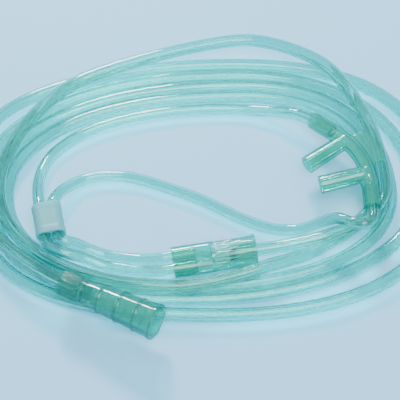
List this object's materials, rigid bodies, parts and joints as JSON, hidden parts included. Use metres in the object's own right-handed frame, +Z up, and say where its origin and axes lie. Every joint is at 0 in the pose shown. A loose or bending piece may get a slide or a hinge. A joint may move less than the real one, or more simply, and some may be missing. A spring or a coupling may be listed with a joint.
{
  "type": "nasal oxygen cannula",
  "caption": "Coiled soft tubing with a nasal nosepiece, a slider, a Y connector and a flared ribbed supply connector, lying flat in an oval coil.",
  "frame": {"origin": "on the table, under the middle of the four moulded pieces", "axes": "+X across the coil to the nosepiece's side, +Y from the supply connector's side to the far side of the coil, +Z up from the table"},
  "size_m": [0.1772, 0.1399, 0.0182],
  "materials": {
    "teal_vinyl": "glossy translucent soft vinyl",
    "deep_teal_vinyl": "glossy translucent soft vinyl, a deeper tint",
    "milky_vinyl": "satin milky soft vinyl",
    "clear_tubing": "glossy clear green-tinted soft vinyl"
  },
  "bodies": {
    "root": {"nosepiece": "teal_vinyl", "slider": "milky_vinyl", "y_connector": "teal_vinyl", "supply_connector": "deep_teal_vinyl", "headset_tube_left": "clear_tubing", "headset_tube_right": "clear_tubing", "supply_tube": "clear_tubing"}
  },
  "joints": []
}
